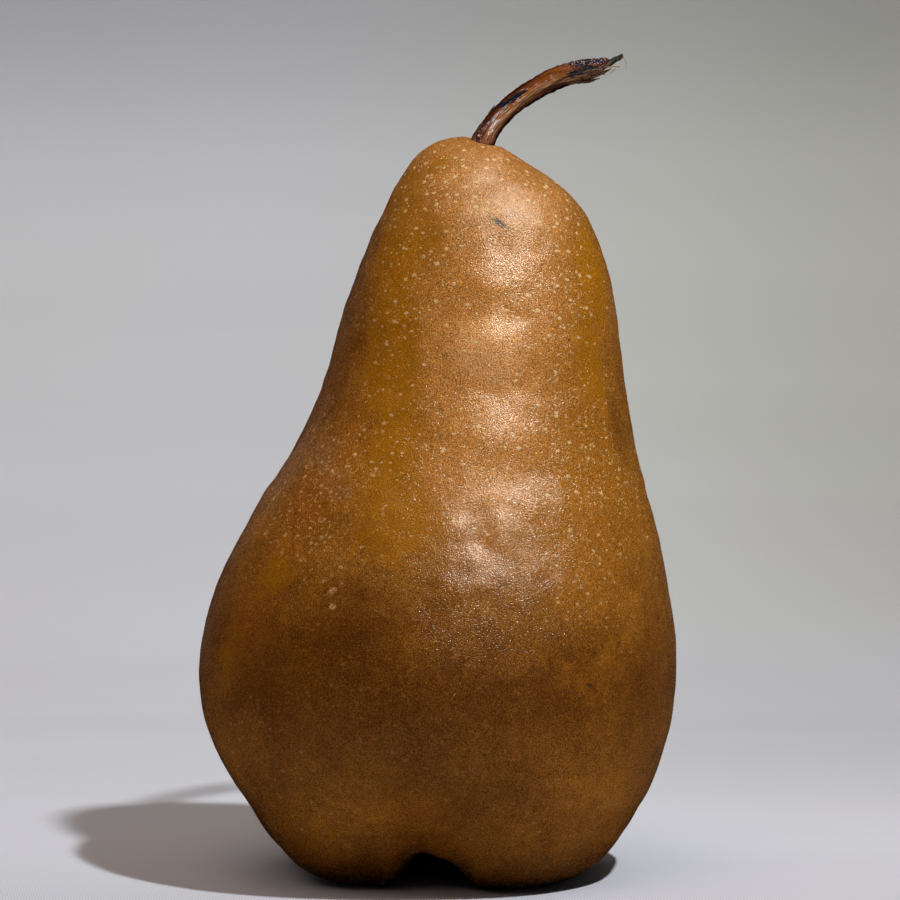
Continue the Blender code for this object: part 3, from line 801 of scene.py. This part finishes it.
# Strips of bark that peel off the underside: (turn, start, end in mm, width in mm, lift in mm, turn of the tip).
PEELINGS = [
    (118, 23.6, 31, 0.62, 0.16, -6), (136, 24.4, 31.9, 0.5, 0.3, -14), (152, 23, 30.2, 0.66, 0.24, 4),
    (170, 25.4, 29.6, 0.8, 0.26, 10), (104, 26.5, 32.2, 0.4, 0.14, -4), (8, 7.4, 9.9, 0.62, 0.08, -10),
    (236, 24, 30.6, 0.8, 0.25, 6), (300, 25, 31.6, 0.6, 0.2, 0),
]

# Torn fibres at the tip, as points (x, y, height) in mm.
HAIRS = [
    [(25.4, 18.8, 116.6), (26.5, 19.6, 116.85), (27.25, 20, 117.2), (27.6, 20.1, 116.6), (27.65, 20, 115.6)],
    [(25.2, 18.5, 116.2), (26.2, 19, 116), (27.1, 19.6, 116.15)],
    [(23.3, 16.6, 115), (24.4, 17.5, 114.95), (25.3, 18.1, 115.1), (26.1, 18.6, 115.7)],
    [(24, 17, 115.4), (25, 17.8, 115.4), (25.9, 18.3, 115.6)],
    [(22.6, 16.4, 114.7), (23.6, 17.1, 114.9), (24.3, 17.6, 115)],
    [(24.6, 17.6, 115.9), (25.9, 18.4, 116.05), (26.7, 18.9, 115.9)],
]


class Rail:
    """The stem's middle line, with a radius and two directions across it at each place."""

    def __init__(self, points, steps=14):
        first = [2 * a - b for a, b in zip(points[0], points[1])]
        last = [2 * a - b for a, b in zip(points[-1], points[-2])]
        ends = [first, *points, last]
        curve = []
        for p0, p1, p2, p3 in zip(ends, ends[1:], ends[2:], ends[3:]):
            for step in range(steps):
                t = step / steps
                curve.append([
                    0.5 * (2 * b + (c - a) * t + (2 * a - 5 * b + 4 * c - d) * t**2
                           + (3 * b - a - 3 * c + d) * t**3)
                    for a, b, c, d in zip(p0, p1, p2, p3)
                ])
        curve.append(list(points[-1]))
        self.middles = [Vector(point[:3]) for point in curve]
        self.radii = [point[3] for point in curve]
        self.lengths = [0.0]
        for a, b in zip(self.middles, self.middles[1:]):
            self.lengths.append(self.lengths[-1] + (b - a).length)
        self.length = self.lengths[-1]

    def at(self, along):
        """Middle, radius, upward direction and front direction at this length, in mm."""
        after = min(bisect.bisect_left(self.lengths, along, 1), len(self.lengths) - 1)
        start, end = self.lengths[after - 1], self.lengths[after]
        share = (along - start) / (end - start)
        middle = self.middles[after - 1].lerp(self.middles[after], share)
        radius = self.radii[after - 1] + (self.radii[after] - self.radii[after - 1]) * min(share, 1.0)
        before, beyond = self.middles[max(after - 3, 0)], self.middles[min(after + 2, len(self.middles) - 1)]
        tangent = (beyond - before).normalized()
        up = STEM_FRONT.cross(tangent).normalized()
        if up.z < 0:
            up = -up
        front = tangent.cross(up)
        if front.dot(STEM_FRONT) < 0:
            front = -front
        return middle, radius, up, front

    def place(self, along, turn, reach):
        """The point at this length, turn in degrees and distance from the middle line."""
        middle, _, up, front = self.at(along)
        turn = math.radians(turn)
        return (middle + (up * math.cos(turn) + front * math.sin(turn)) * reach) * MM


def ring_noise(turn, along, finer, stretch, seed=0.0):
    """Noise that runs lengthwise with the bark's twist, and closes round the stem."""
    return circle_noise(math.radians(turn - BARK_TWIST * along), finer, along * stretch, seed)


def around(turn, middle):
    """The turn from the middle to here, from -180 to 180 degrees."""
    return (turn - middle + 180) % 360 - 180


def patch(name, turn, along):
    """How much the patches of this name cover a place of the bark, from 0 to 1."""
    return 1 - math.prod(
        1 - strength * math.exp(-abs(around(turn, middle) / wide) ** 3 - abs((along - place) / long) ** 3)
        for middle, place, wide, long, strength in BARK_PATCHES[name]
    )


def bark_end(turn):
    """Where the bark ends along the stem, in mm, at this turn."""
    (low, start), (high, end) = steps_about(BARK_END, turn)
    smooth = start + (end - start) * (turn - low) / (high - low)
    return smooth + 0.7 * circle_noise(math.radians(turn), 5, 3.0)


def stem_reach(turn, along, radius, settings):
    """Distance of the bark from the stem's middle line, in mm."""
    height = settings.ridge / MM
    if along > THICK_FROM:
        radius = max(radius, THICK_RADIUS - 0.09 * (along - THICK_FROM))
    grooves = ring_noise(turn, along, 1.7, 0.05) + ring_noise(turn, along, 3.6, 0.10, 7.0) * 0.65
    fibres = ring_noise(turn, along, 8.0, 0.25, 13.0) * 0.28 + ring_noise(turn, along, 17.0, 0.5, 21.0) * 0.13
    lumps = noise_at(turn * 0.012, along * 0.35, 5.0) * 0.25 + ring_noise(turn, along, 2.6, 1.3, 27.0) * 0.42
    dry = patch("fibre", turn, along)
    reach = radius + height * (grooves * (0.6 + 0.4 * dry) + fibres * (0.55 + 1.3 * dry) + lumps)
    # Raised blisters where the painted glints lie.
    blisters = noise_at(turn * 0.045, along * 1.5, 9.0) + 0.6 * noise_at(turn * 0.10, along * 3.2, 4.0)
    reach += 0.20 * patch("painted_shine", turn, along) * blisters
    reach -= 0.07 * patch("char", turn, along) * fade(along, 5.0, 8.0)
    reach += 0.14 * bell(along - 3.6, 1.9)  # the collar just above the crown
    # The maroon strip stands a little proud, as far as its pointed end.
    strip = math.exp(-((around(turn, 8) / 20) ** 4)) * fade(along, 3.5, 6.5)
    reach += 0.13 * strip * (1 - fade(along, 9.2, 9.7))
    # Past its torn end the bark gives way to a thin splinter.
    end = bark_end(turn)
    splinter = 0.52 - 0.16 * fade(along, 32.0, 35.0) + 0.16 * ring_noise(turn, along, 1.6, 1.1, 31.0)
    return reach + (splinter - reach) * fade(along, end - 0.12, end + 0.16)


def shape_stem(stem, rail, settings):
    """Moves the rings of a straight, upright rod of unit radius and height onto the rail."""
    masks = {name: [] for name in BARK_PATCHES}
    for vertex in stem.data.vertices:
        x, y, z = vertex.co
        along = (z + 0.5) * rail.length
        turn = math.degrees(math.atan2(y, x)) % 360
        share = min(1.0, math.hypot(x, y))
        _, radius, _, _ = rail.at(along)
        vertex.co = rail.place(along, turn, stem_reach(turn, along, radius, settings) * share)
        blur = 0.35 * ring_noise(turn, along, 5.0, 0.4, 40.0)
        for name in masks:
            value = patch(name, turn, along)
            masks[name].append(clamped(value + blur * 4 * value * (1 - value)))
    store(stem, masks)


def add_rod(name, sides, cuts):
    """A straight rod of radius 1 and height 1, cut across into many rings."""
    deselect()
    bpy.ops.mesh.primitive_cylinder_add(vertices=sides, radius=1, depth=1, end_fill_type="TRIFAN")
    rod = bpy.context.object
    rod.name = rod.data.name = name
    bpy.ops.object.mode_set(mode="EDIT")
    bpy.ops.mesh.select_mode(type="EDGE")
    bpy.ops.mesh.select_all(action="DESELECT")
    bpy.ops.object.mode_set(mode="OBJECT")
    for edge in rod.data.edges:
        ends = [rod.data.vertices[i].co.z for i in edge.vertices]
        edge.select = abs(ends[0] - ends[1]) > 0.5
    bpy.ops.object.mode_set(mode="EDIT")
    bpy.ops.mesh.subdivide(number_cuts=cuts)
    bpy.ops.object.mode_set(mode="OBJECT")
    return rod


def add_peeling(rail, turn, start, end, width, lift, tip_turn):
    """One thin strip of bark that follows the stem and lifts off it towards its tip."""
    strip = add_rod("peeling", 10, 40)
    masks = {name: [] for name in BARK_PATCHES}
    for vertex in strip.data.vertices:
        x, y, z = vertex.co
        share = z + 0.5
        along = start + (end - start) * share
        _, radius, _, _ = rail.at(min(along, PEELING_BASE))
        ragged = noise_at(share * 6, turn * 0.1, 0.0)
        wide = width * (0.35 + 0.65 * fade(share, 0.0, 0.2)) * (1 - 0.85 * fade(share, 0.82, 1.0))
        wide *= 1 + 0.35 * ragged
        middle_turn = turn + tip_turn * share + 9 * noise_at(share * 3, 0.0, turn * 0.3)
        reach = radius - 0.10 + (lift + 0.12) * fade(share, 0.0, 0.75) + 0.06 * ragged + PEELING_THICK * y
        vertex.co = rail.place(along, middle_turn + math.degrees(x * wide / 2 / radius), reach)
        for name in masks:
            # The strips darken towards their side edges with painted shade.
            masks[name].append({"fibre": 0.9, "char": 0.35 + 0.6 * fade(abs(x), 0.5, 1.0)}.get(name, 0.0))
    store(strip, masks)
    return strip


def add_thread(name, points, steps, cuts, thickness):
    """A thin rod through these points, in mm, with this thickness at each share of its length."""
    rail = Rail([(*point, 1.0) for point in points], steps)
    thread = add_rod(name, 6, cuts)
    for vertex in thread.data.vertices:
        x, y, z = vertex.co
        share = z + 0.5
        middle, _, up, front = rail.at(rail.length * share)
        vertex.co = (middle + (up * x + front * y) * thickness(share)) * MM
    return thread


def bark_material(settings):
    """Glossy twisted bark: maroon and amber streaks, black patches with pink specks of painted glints, painted
    shade along the underside, dry fibres.
    """
    material, nodes = new_material("stem_bark")
    span, mix, times, plus = nodes.span, nodes.mix, nodes.times, nodes.plus
    place = nodes.place()
    uv = nodes.add("ShaderNodeTexCoord").outputs["UV"]
    area = {name: nodes.painted(name) for name in BARK_PATCHES}
    strands = nodes.use("Fibres", uv, Fineness=10.0, Twist=0.66)
    streak = strands["Streak"]
    mottle = nodes.noise(place, 1500.0, 3.0, 0.65)
    fine = nodes.noise(place, 4200.0, 2.0, 0.6)

    colour = mix(span(mottle, 0.35, 0.65), settings.bark, settings.maroon)
    colour = mix(times(streak, 0.22), colour, settings.amber)
    colour = mix(area["maroon"], colour, settings.maroon)
    glow = times(area["amber"], span(streak, 0.0, 1.0, 0.45, 1.0))
    colour = mix(glow, colour, settings.amber)
    dry = mix(streak, mix(0.85, settings.fibre, settings.char), settings.fibre)
    worn = times(streak, span(strands["Height"], 0.46, 0.58, 0.10, 0.7))
    dry = mix(worn, dry, mix(0.7, settings.hair, settings.amber))
    colour = mix(area["fibre"], colour, dry)
    # Black patches of the bark, with painted shade along the underside and on the strips' edges.
    edge = plus(area["char"], span(mottle, 0.3, 0.7, -0.3, 0.3))
    black = span(edge, 0.35, 0.7)
    colour = mix(black, colour, settings.char)
    # Painted glints: pinkish specks on the black patches.
    speck = times(area["painted_shine"], span(fine, 0.54, 0.66))
    colour = mix(times(speck, 0.85), colour, settings.painted_shine)

    rough = plus(span(mottle, 0.3, 0.7, 0.10, 0.27), times(area["fibre"], 0.3))
    ridges = times(strands["Height"], span(area["fibre"], 0.0, 1.0, 0.5, 1.4))
    height = plus(ridges, times(mottle, 0.8), times(fine, 0.5))
    nodes.surface(
        Base_Color=colour, Roughness=rough, IOR=1.5, Specular_IOR_Level=0.11, Normal=nodes.bump(height, BARK_BUMP)
    )
    return material


class PEAR_OT_stem(bpy.types.Operator):
    """Twists the torn bark round the stem's line"""

    bl_idname = "pear.stem"
    bl_label = "Stem"

    def execute(self, context):
        settings = context.scene.pear_stem
        rail = Rail(STEM_ROUTE)
        stem = add_rod("stem", settings.sides, settings.rings)
        shape_stem(stem, rail, settings)
        peelings = [add_peeling(rail, *strip) for strip in PEELINGS]
        stem = join([stem, *peelings], "pear_stem")
        finish_piece(stem, "stem", bark_material(settings))

        hairs = [
            add_thread("hair", points, 8, 22, lambda share: (0.085 + 0.012 * (i % 3)) * (1 - 0.6 * share))
            for i, points in enumerate(HAIRS)
        ]
        hairs = join(hairs, "pear_stem_fibres")
        material, nodes = new_material("stem_fibres")
        patchy = nodes.span(nodes.noise(nodes.place(), 900.0), 0.35, 0.65)
        nodes.surface(Base_Color=nodes.mix(patchy, settings.hair, settings.fibre), Roughness=0.5)
        finish_piece(hairs, None, material)
        return {"FINISHED"}


# ---------------------------------------------------------------- calyx
CUP_FLOOR = 6.85  # height of the hollow's floor, in mm, from which the stamens hang
HUSK_BUMP = 0.05 * MM


def wrinkle(calyx, middle):
    """Dries the sepals: fine creases all over, and edges that curl and pale."""
    worn = []
    for vertex, place, normal in vertices_of(calyx):
        away = place - middle
        out = math.hypot(away.x, away.y) / MM
        angle = math.atan2(away.y, away.x)
        creases = circle_noise(angle, 9, out * 0.5) * 0.11
        creases += noise.noise(place / (0.7 * MM)) * 0.09 + noise.noise(place / (0.3 * MM)) * 0.04
        vertex.co = place + normal * creases * MM
        curl = fade(out, 2.4, 5.6)
        vertex.co.z += curl * 0.35 * MM * noise_at(angle * 3, out * 0.7, 2.0)
        worn.append(clamped(curl * 0.8 + 3 * creases))
    store(calyx, {"worn": worn})


def add_stamen(chance, middle, width):
    """One dried stamen, from the floor of the cup to its shrivelled head."""
    turn, out = chance.uniform(0, math.tau), chance.uniform(0.25, 1.0)
    lean, bend = chance.uniform(-0.5, 0.7), chance.uniform(-0.4, 0.4)
    x, y = middle.x / MM, middle.y / MM
    points = []
    for share in (0, 1 / 3, 2 / 3, 1):
        reach = out + lean * share * 0.6
        angle = turn + bend * share**2
        points.append((x + reach * math.cos(angle), y + reach * math.sin(angle), CUP_FLOOR - 2 * share))
    return add_thread("stamen", points, 6, 18, lambda share: width / MM * (0.5 + 0.9 * bell(share - 0.93, 0.07)))


def husk_material(settings, name):
    """Brittle brown husk, paler where it is worn."""
    material, nodes = new_material(name)
    place = nodes.place()
    grain = nodes.use("Fine Grain", place, Size=0.3 * MM, Contrast=2.0)["Value"]
    spots = nodes.use("Cloudy Patches", place, Size=1.2 * MM, Low=0.45, High=0.62)["Mask"]
    shade = nodes.plus(nodes.times(nodes.painted("worn"), 0.7), nodes.span(grain, 0.2, 0.8, -0.15, 0.25))
    husk = nodes.mix(nodes.span(shade, 0.1, 0.8), settings.husk, settings.husk_pale)
    husk = nodes.tint(husk, (0.35, 0.3, 0.3), nodes.times(spots, 0.6))
    nodes.surface(Base_Color=husk, Roughness=0.8, Normal=nodes.bump(grain, HUSK_BUMP))
    return material


class PEAR_OT_calyx(bpy.types.Operator):
    """Crumples the dried eye in the base"""

    bl_idname = "pear.calyx"
    bl_label = "Calyx"

    def execute(self, context):
        settings = context.scene.pear_calyx
        calyx = copy_of_solid("calyx", "pear_calyx")
        top = max(vertex.co.z for vertex in calyx.data.vertices)
        lid = [vertex.co for vertex in calyx.data.vertices if vertex.co.z > top - 0.3 * MM]
        middle = sum(lid, Vector()) / len(lid)
        apply_modifier(calyx, "SUBSURF", levels=2)
        wrinkle(calyx, middle)
        finish_piece(calyx, "calyx", husk_material(settings, "dried_calyx"))

        chance = random.Random(7)
        stamens = [add_stamen(chance, middle, settings.stamen_width) for _ in range(settings.stamens)]
        stamens = join(stamens, "pear_stamens")
        finish_piece(stamens, None, husk_material(settings, "dried_stamens"))
        return {"FINISHED"}


# ---------------------------------------------------------------- stage
SWEEP_FRONT, SWEEP_BEND, SWEEP_TOP, SWEEP_WIDTH, SWEEP_CURVE = -1.5, 0.42, 1.1, 3.2, 0.28
KEY_PLACE, FILL_PLACE, LIT_PLACE = (0.28, -0.26, 0.65), (-0.36, -0.30, 1.00), (0.0, 0.0, 0.06)
KEY_COLOUR, FILL_COLOUR, SKY_COLOUR = (0.90, 0.95, 1.0), (1.0, 0.83, 0.72), (0.9, 0.93, 1.0)
SKY_STRENGTH, SKY_STRENGTH_SEEN = 0.03, 0.3
CAMERA_TARGET = Vector((0.0018, 0.0, 0.0615))
RIB_ACROSS, RIB_ALONG = 0.42 * MM, 3.6 * MM  # the spacing of the weave's rib in X and in Y


def cloth_material(settings):
    """Pale twill: lit floor, with painted shade that makes the rise behind greyer and the top and right darker
    and duller.
    """
    material, nodes = new_material("pale_cloth")
    span, tint, times = nodes.span, nodes.tint, nodes.times
    place = nodes.place()
    parts = nodes.parts(place)
    across, deep, high = parts["X"], parts["Y"], parts["Z"]
    # Painted shade: greyer up the rise behind, darker at the top and towards the right.
    cloth = nodes.mix(span(high, 0.0, 0.05), settings.cloth, settings.backdrop)
    cloth = nodes.mix(span(high, 0.066, 0.125), cloth, settings.shade)
    cloth = tint(cloth, (0.40, 0.385, 0.30), span(across, -0.05, 0.10, 0.0, 0.30))
    # Painted light and shade: warmer and darker to the right behind, whiter to the right in front, and dimmer
    # nearest.
    right = span(across, -0.03, 0.04)
    behind = span(high, 0.0, 0.015)
    front = span(deep, 0.02, 0.12, 1.0, 0.0)
    for shift, factor in (
        ((0.985, 0.99, 0.925), times(right, behind)),
        ((0.88, 0.865, 0.85), times(span(across, 0.03, 0.11), behind)),
        ((1.19, 1.16, 1.18), times(right, front)),
        ((0.87, 0.86, 0.87), span(deep, -0.03, 0.03, 1.0, 0.0)),
    ):
        cloth = tint(cloth, shift, factor)
    streaks = nodes.add("ShaderNodeMapping", {"Vector": place, "Scale": (3.0, 30.0, 60.0)}).outputs[0]
    cloth = nodes.dim(cloth, span(nodes.noise(streaks, 1.0, 3.0), 0.3, 0.7, 0.985, 1.015))
    # The fine diagonal rib of the weave, which softens with distance.
    rib = nodes.plus(times(across, math.tau / RIB_ACROSS), times(deep, math.tau / RIB_ALONG))
    rib = times(nodes.math("SINE", rib), span(deep, -0.03, 0.02, 0.075, 0.0))
    cloth = nodes.dim(cloth, nodes.plus(1.0, rib))
    cloth = tint(cloth, (1.0, 0.86, 1.0), span(nodes.noise(place, 14.0), 0.45, 0.65, 0.0, 0.10))
    # The cloth shows from its upper side alone, so that it never hides the pear.
    under = nodes.add("ShaderNodeNewGeometry").outputs["Backfacing"]
    nodes.surface(Base_Color=cloth, Roughness=0.9, Specular_IOR_Level=0.1, Alpha=nodes.minus(1.0, under))
    return material


def add_light(name, place, size, power, tint, unseen_by=None):
    """A square light aimed at the pear, unseen by the kind of ray that is named."""
    data = bpy.data.lights.new(name, "AREA")
    data.shape, data.size, data.energy, data.color = "SQUARE", size, power, tint
    light = bpy.data.objects.new(name, data)
    light.location = place
    light.rotation_euler = (Vector(place) - Vector(LIT_PLACE)).to_track_quat("Z", "Y").to_euler()
    if unseen_by:
        setattr(light, unseen_by, False)
    bpy.context.scene.collection.objects.link(light)


class PEAR_OT_stage(bpy.types.Operator):
    """Sets the cloth sweep, the lights and the camera"""

    bl_idname = "pear.stage"
    bl_label = "Stage"

    def execute(self, context):
        settings = context.scene.pear_stage
        self.add_sweep(settings)
        key = (KEY_PLACE, settings.key_size)
        add_light("key", *key, settings.key_power, KEY_COLOUR)
        add_light("fill", FILL_PLACE, 1.0, settings.fill_power, FILL_COLOUR, "visible_glossy")
        add_light("gleam", *key, settings.key_power * settings.gleam, KEY_COLOUR, "visible_diffuse")

        world = bpy.data.worlds.new("studio")
        world.use_nodes = True
        nodes = Nodes(world.node_tree)
        seen = nodes.add("ShaderNodeLightPath").outputs["Is Camera Ray"]
        sky = world.node_tree.nodes["Background"].inputs
        nodes.plug(sky["Color"], SKY_COLOUR)
        nodes.plug(sky["Strength"], nodes.span(seen, 0.0, 1.0, SKY_STRENGTH, SKY_STRENGTH_SEEN))
        world.cycles_visibility.glossy = False
        context.scene.world = world

        data = bpy.data.cameras.new("camera")
        data.lens, data.sensor_width, data.clip_start = settings.lens, 36.0, 0.01
        camera = bpy.data.objects.new("camera", data)
        back = Vector((0.0, -math.cos(settings.height), math.sin(settings.height)))
        camera.location = CAMERA_TARGET + back * settings.distance
        camera.rotation_euler = back.to_track_quat("Z", "Y").to_euler()
        context.scene.collection.objects.link(camera)
        context.scene.camera = camera
        context.scene.view_settings.view_transform = "Standard"
        context.scene.view_settings.look = "None"
        return {"FINISHED"}

    def add_sweep(self, settings):
        """The cloth: a floor whose far edge is drawn up and rounded."""
        deselect()
        depth = SWEEP_BEND - SWEEP_FRONT
        bpy.ops.mesh.primitive_plane_add(size=1, location=(0, SWEEP_FRONT + depth / 2, 0))
        sweep = bpy.context.object
        sweep.name = "cloth_sweep"
        sweep.scale = (SWEEP_WIDTH, depth, 1)
        bpy.ops.object.transform_apply(location=True, rotation=True, scale=True)
        sweep.data.polygons[0].select = False
        far = [vertex.co.y > SWEEP_BEND - 0.01 for vertex in sweep.data.vertices]
        sweep.data.vertices.foreach_set("select", far)
        for edge in sweep.data.edges:
            edge.select = all(far[i] for i in edge.vertices)
        bpy.ops.object.mode_set(mode="EDIT")
        bpy.ops.mesh.select_mode(type="EDGE")
        bpy.ops.mesh.extrude_region_move(TRANSFORM_OT_translate={"value": (0, 0, SWEEP_TOP)})
        bpy.ops.object.mode_set(mode="OBJECT")
        apply_modifier(sweep, "BEVEL", width=SWEEP_CURVE, segments=24, limit_method="ANGLE")
        sweep.data.shade_smooth()
        sweep.data.materials.append(cloth_material(settings))
        sweep.visible_glossy = False


# ---------------------------------------------------------------- add-on
class PEAR_PT_sidebar(bpy.types.Panel):
    """Lists the settings and the steps."""

    bl_label = "Russet Pear"
    bl_space_type = "VIEW_3D"
    bl_region_type = "UI"
    bl_category = "Pear"

    def draw(self, context):
        for operator, name, _ in STEPS:
            box = self.layout.box()
            settings = getattr(context.scene, name)
            for key in settings.bl_rna.properties.keys():
                if key not in ("rna_type", "name"):
                    box.prop(settings, key)
            box.operator(operator.bl_idname)


STEPS = [
    (PEAR_OT_fruit, "pear_skin", PearSkinSettings),
    (PEAR_OT_stem, "pear_stem", PearStemSettings),
    (PEAR_OT_calyx, "pear_calyx", PearCalyxSettings),
    (PEAR_OT_stage, "pear_stage", PearStageSettings),
]
CLASSES = [*(group for _, _, group in STEPS), *(operator for operator, _, _ in STEPS), PEAR_PT_sidebar]


def register():
    for cls in CLASSES:
        bpy.utils.register_class(cls)
    for _, name, group in STEPS:
        setattr(bpy.types.Scene, name, PointerProperty(type=group))


def unregister():
    for _, name, _ in STEPS:
        delattr(bpy.types.Scene, name)
    for cls in reversed(CLASSES):
        bpy.utils.unregister_class(cls)


def main():
    register()
    build_groups()
    bpy.ops.pear.fruit()
    bpy.ops.pear.stem()
    bpy.ops.pear.calyx()
    bpy.ops.pear.stage()


if __name__ == "__main__":
    main()
